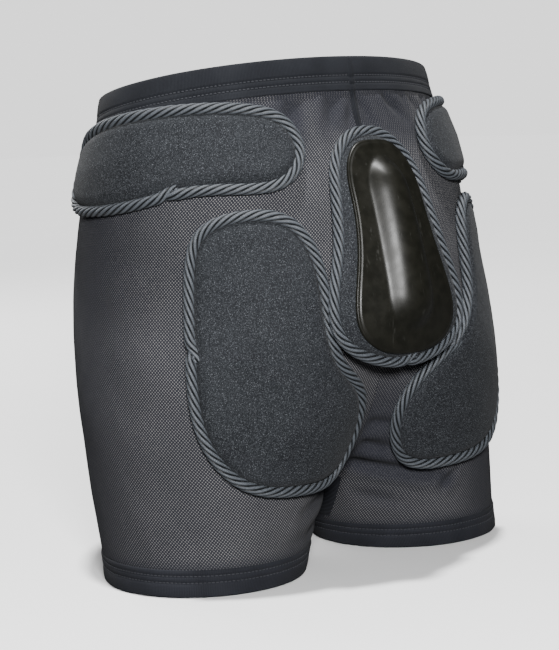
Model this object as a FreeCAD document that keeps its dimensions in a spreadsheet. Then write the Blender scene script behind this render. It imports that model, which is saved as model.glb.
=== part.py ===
"""Padded impact shorts, shaped as they are worn: a short with two legs, five foam pads edged with twisted cord, and a hard
tailbone shell. Millimetres, +Z up, the wearer faces -Y and the wearer's left is +X. The hems rest on Z = 0.

Every layer of cloth or foam is the space between two "bulks" of the left half. A bulk is a loft through ellipses, one per
height, all grown by the same amount, and it stops at the middle plane X = 0. Right-hand pieces are mirrored.
"""

import FreeCAD, Part

import math
import os

V = FreeCAD.Vector
V2 = FreeCAD.Base.Vector2d

# height above the hems, centre sideways, centre front to back, half width and half depth of the left half
STATIONS = {
    "hem": (0, 104, 13, 77, 77),
    "hem_top": (20, 99.5, 10, 81, 81),
    "crotch": (60, 90, 4, 90, 90),
    "thigh": (120, 70, -3, 110, 109),
    "buttock": (180, 43, -11, 132, 128),
    "hip": (240, 24, -17, 143, 134),
    "loin": (300, 17, -13, 147, 118),
    "belly": (350, 12, -14, 140, 102),
    "waist": (400, 0, -20, 141, 99),
}

# how far the tailbone pad's face stands off the widest ellipse of the body at each height
TAIL_STATIONS = {"thigh": 24, "buttock": 24, "hip": 17, "loin": 11, "belly": 8}

SIZES = {
    "panel_thickness": 1.5,
    "hem_fold": 0.8,
    "waist_height": 380.5,
    "waist_tilt_deg": 11.5,
    "band_height": 34,
    "band_fold": 1.6,
    "elastic_thickness": 1.4,
    "elastic_play": 0.2,
    "pad_gap": 0.1,
    "pad_thickness": 10,
    "cover_thickness": 1.5,
    "foam_play": 0.1,
    "cord_diameter": 9,
    "cord_play": 0.1,
    "gusset_half_width": 24,
    "gusset_top": 104,
    "thread_thickness": 0.5,
    "thread_width": 0.9,
    "thread_spacing": 5,
    "hem_thread_height": 10,
    "band_thread_height": 7,
    "seam_foot": 341,
    "seam_half_width": 4,
    "seam_thickness": 1.2,
    "shell_play": 0.1,
    "shell_thickness": 2.2,
    "ridge_height": 249,
    "ridge_depth": 113.4,
    "ridge_tilt_deg": 17,
    "ridge_half_length": 74,
    "ridge_half_width": 19,
    "ridge_half_depth": 33,
}

# Pads are cut flat and wrapped round an upright drum. For each, the drum's axis (x, y), the way the pad's own zero
# faces in degrees from +X, the drum's radius, and where the cutting starts and ends along the radius.
DRUMS = {
    "hip_pad": (17, -13, 15, 135, 75, 200),
    "left_seat_pad": (40, -12, 45, 130, 70, 200),
    "right_seat_pad": (40, -12, 45, 130, 70, 200),
    "tail_pad": (0, -34, 90, 165, 100, 240),
    "shell": (0, -34, 90, 165, 100, 240),
}

# the line of each pad's edging cord, or the shell's rim: pairs along the girth towards the back, and up
OUTLINES = {
    "hip_pad": [(-93, 305), (-82, 286), (-50, 280), (-5, 285), (40, 294), (80, 294), (108, 300), (121, 319),
                (112, 339), (80, 351), (30, 353), (-25, 347), (-65, 337), (-88, 324)],
    "left_seat_pad": [(-22, 225), (-14, 262), (22, 275), (58, 267), (74, 242), (80, 195), (92, 162), (114, 142),
                      (123, 108), (104, 77), (58, 70), (12, 80), (-13, 115), (-20, 165)],
    "right_seat_pad": [(-22, 225), (-12, 263), (15, 276), (38, 266), (47, 242), (51, 208), (65, 178), (90, 158),
                       (113, 138), (122, 108), (104, 77), (58, 70), (12, 80), (-13, 115), (-20, 165)],
    "tail_pad": [(0, 160), (36, 167), (58, 185), (61, 210), (53, 248), (48, 290), (42, 314), (25, 330), (0, 335),
                 (-25, 330), (-42, 314), (-48, 290), (-53, 248), (-61, 210), (-58, 185), (-36, 167)],
    "shell": [(0, 167), (28, 172), (44, 188), (46, 208), (41, 236), (37, 280), (34, 310), (21, 324), (0, 327),
              (-21, 324), (-34, 310), (-37, 280), (-41, 236), (-46, 208), (-44, 188), (-28, 172)],
}

DRUM_WORDS = ("x", "y", "facing", "radius", "near", "far")
REACH = 400  # longer than the shorts in any direction
HALF_TURN = FreeCAD.Rotation(V(0, 0, 1), 180)  # puts the start of each ellipse on the inner side of the leg

doc = FreeCAD.newDocument("impact_shorts")


def make_sheet():
    """The driving dimensions, one named cell each."""
    made = doc.addObject("Spreadsheet::Sheet", "sizes")
    cells = dict(SIZES)
    for name, numbers in STATIONS.items():
        for what, number in zip(("up", "side", "back", "wide", "deep"), numbers):
            cells[f"{name}_{what}"] = number
    for name, number in TAIL_STATIONS.items():
        cells[f"{name}_tail"] = number
    for name, numbers in DRUMS.items():
        for what, number in zip(DRUM_WORDS, numbers):
            cells[f"{name}_drum_{what}"] = number
    for name, points in OUTLINES.items():
        for i, (along, up) in enumerate(points):
            cells[f"{name}_along_{i}"] = along
            cells[f"{name}_up_{i}"] = up
    for row, (alias, number) in enumerate(cells.items(), 1):
        made.set(f"A{row}", alias.replace("_", " "))
        made.set(f"B{row}", str(number))
        made.setAlias(f"B{row}", alias)
    doc.recompute()
    return made


sheet = make_sheet()


def cell(alias):
    return float(getattr(sheet, alias))


def bind(obj, **expressions):
    """Binds properties to expressions. x, y and z are the placement's position."""
    for prop, text in expressions.items():
        path = f".Placement.Base.{prop}" if prop in ("x", "y", "z") else prop
        obj.setExpression(path, text)


def combine(kind, name, base, tool):
    made = doc.addObject(f"Part::{kind}", name)
    made.Base = base
    made.Tool = tool
    return made


def cut(name, base, tool):
    return combine("Cut", name, base, tool)


def common(name, base, tool):
    return combine("Common", name, base, tool)


def mirror(name, source):
    """The same piece on the other side of the middle plane."""
    made = doc.addObject("Part::Mirroring", name)
    made.Source = source
    made.Normal = V(1, 0, 0)
    return made


def both_sides(name, left):
    """One piece from a left half that ends on the middle plane."""
    return combine("Fuse", name, left, mirror(name + "_right_half", left))


def block(name, corner, size):
    """A box with its corner and its size bound to expressions."""
    made = doc.addObject("Part::Box", name)
    bind(made, x=corner[0], y=corner[1], z=corner[2], Length=size[0], Width=size[1], Height=size[2])
    return made


def loft(name, radii):
    """A solid through one ellipse per station. radii gives the expressions of its centre, half width and half depth."""
    sections = []
    for station, (side, wide, deep) in radii.items():
        ellipse = doc.addObject("Part::Ellipse", f"{name}_{station}")
        ellipse.Placement.Rotation = HALF_TURN
        bind(ellipse, x=side, y=f"sizes.{station}_back", z=f"sizes.{station}_up", MajorRadius=wide, MinorRadius=deep)
        sections.append(ellipse)
    made = doc.addObject("Part::Loft", name)
    made.Sections = sections
    made.Solid = True
    return made


def bulk(name, growth):
    """One leg and its half of the seat and waist, grown by an expression. It overlaps its mirror image in the middle."""
    radii = {s: (f"sizes.{s}_side", f"sizes.{s}_wide + {growth}", f"sizes.{s}_deep + {growth}") for s in STATIONS}
    return loft(name, radii)


def tail_bulk(name, growth):
    """The smooth back that the tailbone pad and its shell follow, grown by an expression."""
    radii = {}
    for s in TAIL_STATIONS:
        stand_off = f"sizes.{s}_tail + {growth}"
        radii[s] = ("0", f"sizes.{s}_side + sizes.{s}_wide + {stand_off}", f"sizes.{s}_deep + {stand_off}")
    return loft(name, radii)


def flat_outline(name, growth):
    """The closed curve of a pad's outline on the flat, grown evenly."""
    points = [V2(cell(f"{name}_along_{i}"), cell(f"{name}_up_{i}")) for i in range(len(OUTLINES[name]))]
    curve = Part.Geom2d.BSplineCurve2d()
    curve.interpolate(Points=points, PeriodicFlag=True)
    if not growth:
        return curve
    start, span = curve.FirstParameter, curve.LastParameter - curve.FirstParameter
    places = [start + span * i / 60 for i in range(60)]
    points = [curve.value(p) for p in places]
    turned = sum(a.x * b.y - a.y * b.x for a, b in zip(points, points[1:] + points[:1]))
    out = growth if turned > 0 else -growth
    slopes = [curve.tangent(p) for p in places]
    grown = Part.Geom2d.BSplineCurve2d()
    grown.interpolate(Points=[V2(p.x + t.y * out, p.y - t.x * out) for p, t in zip(points, slopes)],
                      PeriodicFlag=True)
    return grown


def cutter(name, pad, growth=0.0):
    """A pad's outline grown, wrapped round its drum, and drawn outwards through all the layers."""
    x, y, facing, radius, near, far = (cell(f"{pad}_drum_{what}") for what in DRUM_WORDS)
    curve = flat_outline(pad, growth)
    for i, pole in enumerate(curve.getPoles(), 1):
        curve.setPole(i, V2(math.radians(facing) + pole.x / radius, pole.y))
    drum = Part.Cylinder()
    drum.Center = V(x, y, 0)
    drum.Radius = near
    face = Part.Face(drum, Part.Wire([curve.toShape(drum)]))
    face.validate()
    patch = doc.addObject("Part::Feature", name + "_patch")
    patch.Shape = face
    made = doc.addObject("Part::Offset", name)
    made.Source = patch
    made.Fill = True
    bind(made, Value=f"sizes.{pad}_drum_far - sizes.{pad}_drum_near")
    return made


parts = {}


def keep(node, piece):
    """Names a finished piece, which is written to a file of that name."""
    piece.Label = node
    parts[node] = piece


# layers that several pieces share
skin = bulk("skin", "0")
pad_floor = bulk("pad_floor", "sizes.pad_gap")
foam_top = bulk("foam_top", "sizes.pad_thickness - sizes.cover_thickness - sizes.foam_play")
cover_inside = bulk("cover_inside", "sizes.pad_thickness - sizes.cover_thickness")
cover_top = bulk("cover_top", "sizes.pad_thickness")
cord_top = bulk("cord_top", "sizes.cord_diameter + sizes.pad_gap")


def waist_slab(name, bottom, height):
    """The left half of a slab parallel to the slanting waist edge. The bottom is measured up from that edge."""
    made = doc.addObject("Part::Box", name)
    bind(made, Length=f"{REACH}", Width=f"{2 * REACH}", Height=height)
    turn = FreeCAD.Rotation(V(1, 0, 0), cell("waist_tilt_deg"))
    foot = V(0, 0, cell("waist_height")) + turn.multVec(V(0, -REACH, bottom))
    made.Placement = FreeCAD.Placement(foot, turn)
    return made


def band_layer(name, outside, inside, slab):
    """The left half of a strip of the waistband between two growths of the body."""
    outer = common(name + "_outer", bulk(name + "_out", outside), slab)
    inner = common(name + "_inner", bulk(name + "_in", inside), slab)
    return cut(name, outer, inner)


def make_waistband():
    """A folded casing, open below, the elastic in it, and two rows of stitching round it."""
    height, fold = cell("band_height"), cell("band_fold")
    channel = "sizes.elastic_thickness + 2 * sizes.elastic_play"
    whole = waist_slab("casing_slab", -height, "sizes.band_height")
    casing = band_layer("casing_wall", "sizes.band_fold", f"-sizes.band_fold - ({channel})", whole)
    slot = waist_slab("channel_slab", -2 * height, "2 * sizes.band_height - sizes.band_fold")
    hollow = band_layer("channel_wall", "0", f"-({channel})", slot)
    keep("waistband_casing", both_sides("casing", cut("casing_left", casing, hollow)))

    slab = waist_slab("elastic_slab", fold - height, "sizes.band_height - 2.5 * sizes.band_fold")
    strip = band_layer("elastic_left", "-sizes.elastic_play", "-sizes.elastic_play - sizes.elastic_thickness", slab)
    keep("waistband_elastic", both_sides("elastic", strip))

    rows = []
    for i, bottom in enumerate((cell("band_thread_height"), cell("band_thread_height") + cell("thread_spacing"))):
        slab = waist_slab(f"band_thread_slab_{i}", bottom - height, "sizes.thread_width")
        outside = "sizes.band_fold + sizes.thread_thickness"
        rows.append(band_layer(f"band_thread_{i}", outside, "sizes.band_fold", slab))
    keep("waistband_stitching", both_sides("band_stitching", combine("Fuse", "band_threads", *rows)))


def make_panels():
    """One wrap-round panel a side, a gusset between the legs, and the raised seam down the middle of the back."""
    reach, across = f"{REACH}", f"{2 * REACH}"
    below_band = waist_slab("below_band", -REACH, f"{REACH} - sizes.band_height")
    above_hem = block("above_hem", ("0", f"-{REACH}", "sizes.hem_top_up"), [reach, across, reach])
    panel_space = common("panel_space", below_band, above_hem)
    cloth = cut("cloth", common("cloth_bulk", skin, panel_space), bulk("lining", "-sizes.panel_thickness"))
    between = block("gusset_space", ("0", f"-{REACH}", "sizes.hem_top_up"),
                    ["sizes.gusset_half_width", across, "sizes.gusset_top - sizes.hem_top_up"])
    left = cut("panel_left", cloth, between)
    keep("left_panel", left)
    keep("right_panel", mirror("panel_right", left))
    keep("crotch_gusset", both_sides("gusset", common("gusset_left", cloth, between)))

    strip = block("seam_strip", ("0", "0", "sizes.seam_foot"), ["sizes.seam_half_width", reach, reach])
    seam_space = common("seam_space", strip, below_band)
    seam_bulk = common("seam_bulk", bulk("seam_top", "sizes.pad_gap + sizes.seam_thickness"), seam_space)
    keep("centre_back_seam", both_sides("seam", cut("seam_left", seam_bulk, pad_floor)))


def leg_ring(name, bottom, top, outside, inside):
    """A ring round the left leg between two heights, and between two growths of the body."""
    walls = []
    for side, growth in (("outer", outside), ("inner", inside)):
        radii = []
        for level, up in (("low", bottom), ("high", top)):
            ellipse = doc.addObject("Part::Ellipse", f"{name}_{side}_{level}")
            ellipse.Placement.Rotation = HALF_TURN
            size = {}
            for what in ("side", "back", "wide", "deep"):
                rise = f"(sizes.hem_top_{what} - sizes.hem_{what}) * ({up}) / sizes.hem_top_up"
                size[what] = f"sizes.hem_{what} + {rise}"
            bind(ellipse, x=size["side"], y=size["back"], z=up,
                 MajorRadius=f"{size['wide']} + {growth}", MinorRadius=f"{size['deep']} + {growth}")
            radii.append(ellipse)
        wall = doc.addObject("Part::Loft", f"{name}_{side}")
        wall.Sections = radii
        wall.Solid = True
        wall.Ruled = True
        walls.append(wall)
    return cut(name, *walls)


def make_hems():
    """A doubled band at the foot of each leg with two rows of stitching."""
    left = leg_ring("hem", "0", "sizes.hem_top_up", "sizes.hem_fold", "-sizes.panel_thickness - sizes.hem_fold")
    keep("left_hem", left)
    keep("right_hem", mirror("hem_right", left))
    rows = []
    for i, bottom in enumerate(("sizes.hem_thread_height", "sizes.hem_thread_height + sizes.thread_spacing")):
        outside = "sizes.hem_fold + sizes.thread_thickness"
        top = f"{bottom} + sizes.thread_width"
        rows.append(leg_ring(f"hem_thread_{i}", bottom, top, outside, "sizes.hem_fold"))
    threads = combine("Fuse", "hem_threads", *rows)
    keep("left_hem_stitching", threads)
    keep("right_hem_stitching", mirror("hem_threads_right", threads))


def make_soft_pad(node, pad, right=False):
    """A foam block under a cover that is open towards the body, and the cord round its edge."""
    edge = cell("cord_diameter") / 2
    cover_edge = -edge - cell("cord_play")
    outer = cutter(node + "_outer", pad, cover_edge)
    inner = cutter(node + "_inner", pad, cover_edge - cell("cover_thickness"))
    core = cutter(node + "_core", pad, cover_edge - cell("cover_thickness") - cell("foam_play"))
    cap = cut(node + "_cap", common(node + "_cap_bulk", cover_top, outer), pad_floor)
    cover = cut(node + "_shell", cap, common(node + "_hollow", cover_inside, inner))
    foam = cut(node + "_block", common(node + "_block_bulk", foam_top, core), pad_floor)
    disc = common(node + "_disc", cord_top, cutter(node + "_cord_out", pad, edge))
    ring = cut(node + "_ring", disc, cutter(node + "_cord_in", pad, -edge))
    made = {"cover": cover, "foam": foam, "edging_cord": cut(node + "_cord", ring, pad_floor)}
    for what, piece in made.items():
        keep(f"{node}_{what}", mirror(f"{node}_{what}_mirrored", piece) if right else piece)


def make_tail_pad():
    """The tailbone pad, thicker towards its foot, with its cord along its outer edge."""
    body = combine("Fuse", "body_floor", pad_floor, mirror("pad_floor_right", pad_floor))
    edge = cell("cord_diameter") / 2
    cover_edge = -edge - cell("cord_play")
    face = tail_bulk("tail_face", "0")
    inside = tail_bulk("tail_inside", "-sizes.cover_thickness")
    foam_face = tail_bulk("tail_foam_face", "-sizes.cover_thickness - sizes.foam_play")
    outer = cutter("tail_outer", "tail_pad", cover_edge)
    inner = cutter("tail_inner", "tail_pad", cover_edge - cell("cover_thickness"))
    core = cutter("tail_core", "tail_pad", cover_edge - cell("cover_thickness") - cell("foam_play"))
    cap = cut("tail_cap", common("tail_cap_bulk", face, outer), body)
    keep("tailbone_pad_cover", cut("tail_cover", cap, common("tail_hollow", inside, inner)))
    keep("tailbone_pad_foam", cut("tail_foam", common("tail_foam_bulk", foam_face, core), body))
    disc = common("tail_disc", face, cutter("tail_cord_out", "tail_pad", edge))
    ring = cut("tail_ring", disc, cutter("tail_cord_in", "tail_pad", -edge))
    under = tail_bulk("tail_cord_under", "-sizes.cord_diameter")
    keep("tailbone_pad_edging_cord", cut("tail_cord", cut("tail_cord_top", ring, under), body))


def make_shell():
    """The hard tailbone shell: a curved plate on the pad with a hollow ridge down its middle."""
    bottom = tail_bulk("shell_bottom", "sizes.shell_play")
    top = tail_bulk("shell_top", "sizes.shell_play + sizes.shell_thickness")
    plate = common("shell_plate", top, cutter("shell_rim", "shell"))
    ridge, hollow = [doc.addObject("Part::Ellipsoid", n) for n in ("shell_ridge", "shell_hollow")]
    for shape, wall in ((ridge, "0"), (hollow, "sizes.shell_thickness")):
        bind(shape, y="sizes.ridge_depth", z="sizes.ridge_height", Radius1=f"sizes.ridge_half_length - {wall}",
             Radius2=f"sizes.ridge_half_width - {wall}", Radius3=f"sizes.ridge_half_depth - {wall}")
        shape.Placement.Rotation = FreeCAD.Rotation(V(1, 0, 0), cell("ridge_tilt_deg"))
    solid = cut("shell_solid", combine("Fuse", "shell_mass", plate, ridge), bottom)
    keep("tailbone_shell", cut("shell", solid, hollow))


make_waistband()
make_panels()
make_hems()
make_soft_pad("left_hip_pad", "hip_pad")
make_soft_pad("right_hip_pad", "hip_pad", right=True)
make_soft_pad("left_seat_pad", "left_seat_pad")
make_soft_pad("right_seat_pad", "right_seat_pad", right=True)
make_tail_pad()
make_shell()

doc.recompute()
for obj in doc.Objects:
    if {"Invalid", "Error"} & set(obj.State):
        raise SystemExit(f"{obj.Name} failed: {obj.State}")
os.makedirs("parts", exist_ok=True)
for node, piece in parts.items():
    shape = piece.Shape
    if shape.isNull() or not shape.isValid() or not shape.Solids:
        raise SystemExit(f"{node} has no valid solid")
    shape.exportStep(f"parts/{node}.step")
    box = shape.BoundBox
    print(f"{node}: {len(shape.Solids)} solid(s), {shape.Volume / 1000:.1f} cm3, "
          f"X {box.XMin:.1f} {box.XMax:.1f}, Y {box.YMin:.1f} {box.YMax:.1f}, Z {box.ZMin:.1f} {box.ZMax:.1f}")
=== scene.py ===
"""Padded impact shorts as they are worn, seen from behind and to the wearer's left.

+Z is up, the wearer faces -Y and the wearer's left is +X. Each half of the short is a stack of ellipses,
so a place on it is given by a side, a girth angle and a height. Shapes are worked out in millimetres, and
new_mesh turns them into metres.
"""

import math

import bpy
import numpy as np
from mathutils import Matrix, Vector


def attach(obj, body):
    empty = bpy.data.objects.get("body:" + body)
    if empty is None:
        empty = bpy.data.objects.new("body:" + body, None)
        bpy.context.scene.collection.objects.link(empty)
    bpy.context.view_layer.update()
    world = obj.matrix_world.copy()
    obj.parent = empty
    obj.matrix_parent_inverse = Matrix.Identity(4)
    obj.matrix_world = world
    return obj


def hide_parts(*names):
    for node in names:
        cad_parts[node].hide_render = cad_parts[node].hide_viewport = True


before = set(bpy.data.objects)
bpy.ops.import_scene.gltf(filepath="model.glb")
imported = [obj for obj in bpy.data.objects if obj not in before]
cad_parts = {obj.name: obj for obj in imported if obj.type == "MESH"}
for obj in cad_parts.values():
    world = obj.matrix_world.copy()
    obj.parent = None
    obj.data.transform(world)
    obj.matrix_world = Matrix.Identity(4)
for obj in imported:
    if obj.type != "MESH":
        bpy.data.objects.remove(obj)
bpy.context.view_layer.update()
MM = 0.001

# ---- the worn shape, in millimetres
# height, centre sideways, centre front to back, half width, half depth
STATIONS = np.array([
    (0, 105, 13, 77.5, 77),
    (20, 101, 10, 81, 81),
    (60, 91.5, 4, 91, 90),
    (120, 71, -3, 111.5, 109),
    (180, 44, -11, 133, 128),
    (240, 25, -17, 143, 134),
    (300, 17, -13, 147, 118),
    (350, 12, -14, 140, 102),
    (400, 0, -20, 141, 99),
], float)
# how far the tailbone pad's face stands off, by height
TAIL = np.array([(120, 24), (180, 24), (240, 17), (300, 11), (350, 8)], float)
WAIST_HEIGHT = 378.5
WAIST_TILT = math.radians(10.8)
BAND_HEIGHT = 27.0
# a radius to turn girth angles into lengths, the same for the whole short
GIRTH_RADIUS = 115
# how far past its end knots a spline can be read
SPLINE_MARGIN = 10


def unit(ways):
    """The same ways with a length of one."""
    return ways / np.linalg.norm(ways, axis=-1, keepdims=True)


def cubic(left, h, ends, bends):
    """A cubic across a gap h, at the places left along it, from its values and bends at both ends."""
    rest = h - left
    curved = (bends[0] * rest**3 + bends[1] * left**3) / (6 * h)
    return curved + (ends[0] / h - bends[0] * h / 6) * rest + (ends[1] / h - bends[1] * h / 6) * left


def natural_spline(knots, values):
    """A cubic through the values with no bend at its ends, as a function of arrays."""
    knots, values = np.asarray(knots, float), np.asarray(values, float)
    n, h = len(knots), np.diff(knots)
    system, right = np.eye(n), np.zeros(n)
    for i in range(1, n - 1):
        system[i, i - 1 : i + 2] = h[i - 1], 2 * (h[i - 1] + h[i]), h[i]
        right[i] = 6 * ((values[i + 1] - values[i]) / h[i] - (values[i] - values[i - 1]) / h[i - 1])
    bend = np.linalg.solve(system, right)

    def at(x):
        x = np.clip(x, knots[0] - SPLINE_MARGIN, knots[-1] + SPLINE_MARGIN)
        i = np.clip(np.searchsorted(knots, x) - 1, 0, n - 2)
        return cubic(x - knots[i], h[i], (values[i], values[i + 1]), (bend[i], bend[i + 1]))

    return at


SIDE, BACK, WIDE, DEEP = (natural_spline(STATIONS[:, 0], STATIONS[:, k]) for k in (1, 2, 3, 4))
TAIL_OFF = natural_spline(TAIL[:, 0], TAIL[:, 1])


def smooth(low, high, x):
    """A soft step from 0 to 1 between two values."""
    t = np.clip((x - low) / (high - low), 0, 1)
    return t * t * (3 - 2 * t)


def waist_top(y):
    """The height of the slanting waist edge at a depth."""
    return WAIST_HEIGHT + y * math.tan(WAIST_TILT)


def wave_noise(seed, points, size):
    """Smooth unevenness from -1 to 1, from sums of sine waves in fixed directions."""
    octaves = 3
    rng = np.random.default_rng(seed)
    total, reach = np.zeros(len(points)), 0.0
    for octave in range(octaves):
        strength = 0.55**octave
        for _ in range(5):
            way = unit(rng.normal(size=3))
            turn = 2 * math.pi / (size * rng.uniform(0.7, 1.3) / 1.9**octave)
            total += strength * np.sin(points @ way * turn + rng.uniform(0, 6.28))
        reach += strength * 2.6
    return np.clip(total / reach, -1, 1)


# ---- folds in the cloth
# Each fold is a valley along a line: its side, the girth angle in degrees and height at each end, its width
# and its depth. Side 1 is the left, -1 the right and 0 both. The girth angle is 0 at the outer side, 90 at
# the back and -90 at the front.
FOLDS = [
    (1, 96, 366, 92, 343, 3.4, 1.7),
    (1, 86, 368, 84, 340, 4.0, 1.8),
    (1, 72, 362, 68, 334, 6.0, 3.0),
    (1, 44, 362, 60, 338, 4.0, 3.6),
    (1, 34, 360, 50, 343, 3.5, 2.6),
    (1, 22, 358, 30, 346, 3.5, 1.3),
    (-1, 93, 366, 89, 338, 3.4, 1.6),
    (-1, 81, 368, 74, 344, 3.6, 2.2),
    (-1, 66, 363, 62, 346, 3.4, 1.4),
    (-1, 48, 362, 54, 350, 3.2, 1.2),
    (1, 150, 84, 112, 70, 5.0, 2.6),
    (1, 148, 66, 108, 52, 5.0, 2.4),
    (1, 152, 46, 122, 30, 5.0, 2.2),
    (1, 128, 33, 96, 26, 5.0, 1.2),
    (-1, 152, 78, 101, 59, 4.6, 4.6),
    (-1, 151, 97, 124, 87, 4.4, 3.8),
    (-1, 148, 114, 118, 108, 4.2, 3.0),
    (-1, 102, 49, 91, 60, 3.4, 2.6),
    (-1, 150, 47, 126, 40, 5.0, 1.4),
    (1, -98, 325, -92, 292, 5.0, 1.4),
    (-1, -96, 322, -91, 286, 5.0, 1.4),
    (0, -150, 82, -112, 100, 6.0, 2.4),
    (0, -148, 62, -108, 72, 6.0, 2.2),
    (0, -84, 318, -78, 300, 4.0, 1.0),
]


def fold_effect(side, angle, z):
    """How far the folds sink the cloth, with a small lift beside each, and how far they dim its pale eyelets,
    which paints shade into the creases.
    """
    depth, closed = np.zeros_like(z), np.zeros_like(z)
    for which, a0, z0, a1, z1, width, deep in FOLDS:
        if which not in (0, side):
            continue
        # girth angles become lengths, so that both axes measure the same
        ax, bx, px = (np.radians(v) * GIRTH_RADIUS for v in (a0, a1, np.degrees(angle)))
        run = np.array([bx - ax, z1 - z0])
        length = np.hypot(*run)
        t = np.clip(((px - ax) * run[0] + (z - z0) * run[1]) / length**2, 0, 1)
        away = np.hypot(px - ax - t * run[0], z - z0 - t * run[1])
        fade = np.sin(math.pi * np.clip(0.12 + 0.76 * t, 0, 1))
        valley = np.exp(-((away / width) ** 2))
        beside = 0.35 * np.exp(-(((away - 2.1 * width) / width) ** 2))
        depth += deep * fade * (valley - beside)
        # painted shade: along each fold the pale eyelets are dimmed
        closed += deep / 2.4 * fade * np.exp(-((away / (2.0 * width)) ** 2))
    return depth, np.clip(closed, 0, 1)


def eyelets_and_painted_shade(side, angle, points, closed):
    """How much pale backing shows through the eyelets, from 0 to 1: dimmed by painted shade in the folds, in
    patches below the waistband, low on the legs where they turn from the light, and towards the front, which
    faces away from the light. It is also lower just above the hem.
    """
    z, turn = points[:, 2], np.degrees(angle)
    # painted shade in the creases: the folds dim the pale eyelets
    share = 1 - 0.92 * closed
    # painted shade: random patches just below the waistband, where the gathers shade the cloth, are dimmed
    gather_shade_patches = smooth(-0.4, 0.2, wave_noise(51 if side > 0 else 58, points * np.array([1, 1, 0.35]), 85))
    share *= 1 - 0.8 * gather_shade_patches * smooth(314, 340, z)
    share *= 0.35 + 0.65 * smooth(19, 29, z)
    # painted shade low on the legs, where they turn away from the light or in towards the crotch: the inner
    # back of the left leg, and the outer side and inner back of the right leg
    low = 1 - smooth(120, 160, z)
    if side > 0:
        share *= 1 - 0.75 * smooth(112, 140, turn) * low
    else:
        share *= 1 - 0.85 * (1 - smooth(62, 96, turn)) * low
        share *= 1 - 0.7 * smooth(62, 84, z) * smooth(92, 112, turn) * low
    # painted shade towards the front, which faces away from the light
    return share * (0.12 + 0.88 * smooth(-42, 52, points[:, 1]))


# ---- places on the body


def half_point(angle, z, off=0.0):
    """A place on the left half's ellipses at a girth angle, with its outward direction."""
    cx, cy, a, b = SIDE(z), BACK(z), WIDE(z) + off, DEEP(z) + off
    place = np.stack([cx + a * np.cos(angle), cy + b * np.sin(angle), z + 0 * a], -1)
    out = np.stack([np.cos(angle) / a, np.sin(angle) / b, 0 * a], -1)
    step = 1.0
    up = (SIDE(z + step) - SIDE(z - step)) * np.cos(angle) / a
    up += (BACK(z + step) - BACK(z - step)) * np.sin(angle) / b
    up += (WIDE(z + step) - WIDE(z - step)) * np.cos(angle) ** 2 / a
    up += (DEEP(z + step) - DEEP(z - step)) * np.sin(angle) ** 2 / b
    out[..., 2] = -up / (2 * step)
    return place, unit(out)


def bridged(place, z, reach):
    """The cloth spans the cleft in the middle instead of following it in."""
    x, y = place[..., 0], place[..., 1]
    cx, cy, a, b = SIDE(z), BACK(z), WIDE(z), DEEP(z)
    soft = np.sqrt(np.maximum(x, 0) ** 2 + reach**2)
    rise = np.sqrt(np.clip(1 - ((soft - cx) / a) ** 2, 0.0, 1))
    plain = np.sqrt(np.clip(1 - ((x - cx) / a) ** 2, 0.0, 1))
    place = place.copy()
    place[..., 1] += np.sign(y - cy) * b * np.maximum(rise - plain, 0)
    return place


def body_reach(z, back):
    """How wide a cleft the cloth spans, by height and by whether it is at the back."""
    return np.where(back, 17.0, 14.0) * smooth(58, 96, z)


def sideways_eased(out, x, share=1.0):
    """Outward ways with their sideways part faded towards the middle, where the two halves meet."""
    width = 14.0
    middle = np.exp(-((x / width) ** 2)) * share
    return unit(out * (1 - middle[..., None] * np.array([1.0, 0, 0])))


def running(steps):
    """Lengths from the start to each place, from the steps between the places."""
    return np.concatenate([[0], np.cumsum(steps)])


# ---- mesh helpers


def new_mesh(name, points, faces, uv=None):
    """An object from points in millimetres. uv has one pair per face corner, in millimetres."""
    mesh = bpy.data.meshes.new(name)
    mesh.from_pydata((np.asarray(points) * MM).tolist(), [], [list(map(int, f)) for f in faces])
    if uv is not None:
        layer = mesh.uv_layers.new(name="cut")
        layer.data.foreach_set("uv", np.asarray(uv, float).ravel())
    mesh.polygons.foreach_set("use_smooth", [True] * len(mesh.polygons))
    mesh.update()
    made = bpy.data.objects.new(name, mesh)
    bpy.context.collection.objects.link(made)
    return made


def grid_faces(rows, columns, wrap=False, flip=False):
    """Quads over a grid of points, row by row."""
    r, c = np.meshgrid(np.arange(rows - 1), np.arange(columns if wrap else columns - 1), indexing="ij")
    d = (c + 1) % columns
    corners = [r * columns + c, r * columns + d, (r + 1) * columns + d, (r + 1) * columns + c]
    quads = np.stack(corners, -1).reshape(-1, 4)
    return quads[:, ::-1] if flip else quads


def closed_strip(grid, first=0):
    """Quads and flat coordinates for rings of places, joined round and from the last ring to the first one.

    first is the corner that each quad starts at, which sets how it splits into triangles.
    """
    count, columns = grid.shape[:2]
    girth = running(np.linalg.norm(np.diff(grid[0], axis=0, append=grid[0][:1]), axis=1))
    rise = running([np.linalg.norm(grid[(i + 1) % count] - grid[i], axis=1).mean() for i in range(count)])
    quads = grid_faces(count + 1, columns, wrap=True) % (count * columns)
    u = np.stack([girth[:-1], girth[1:], girth[1:], girth[:-1]], 1)
    v = np.stack([rise[:-1], rise[:-1], rise[1:], rise[1:]], 1)
    uv = np.stack(np.broadcast_arrays(u[None], v[:, None]), -1).reshape(-1, 4, 2)
    return np.roll(quads, -first, 1), np.roll(uv, -first, 1)


def ring_joint(count, first, second):
    """Quads between two rings of places, from the number of each ring's first place."""
    k = np.arange(count)
    m = (k + 1) % count
    return [tuple(f) for f in np.stack([first + k, first + m, second + m, second + k], 1)]


def corner_uv(faces, uv):
    """One flat coordinate per face corner, from one per place."""
    return np.concatenate([uv[list(f)] for f in faces])


def mirrored(points):
    """Places or ways on the wearer's right, from those on the left."""
    return points * np.array([-1.0, 1, 1])


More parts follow.
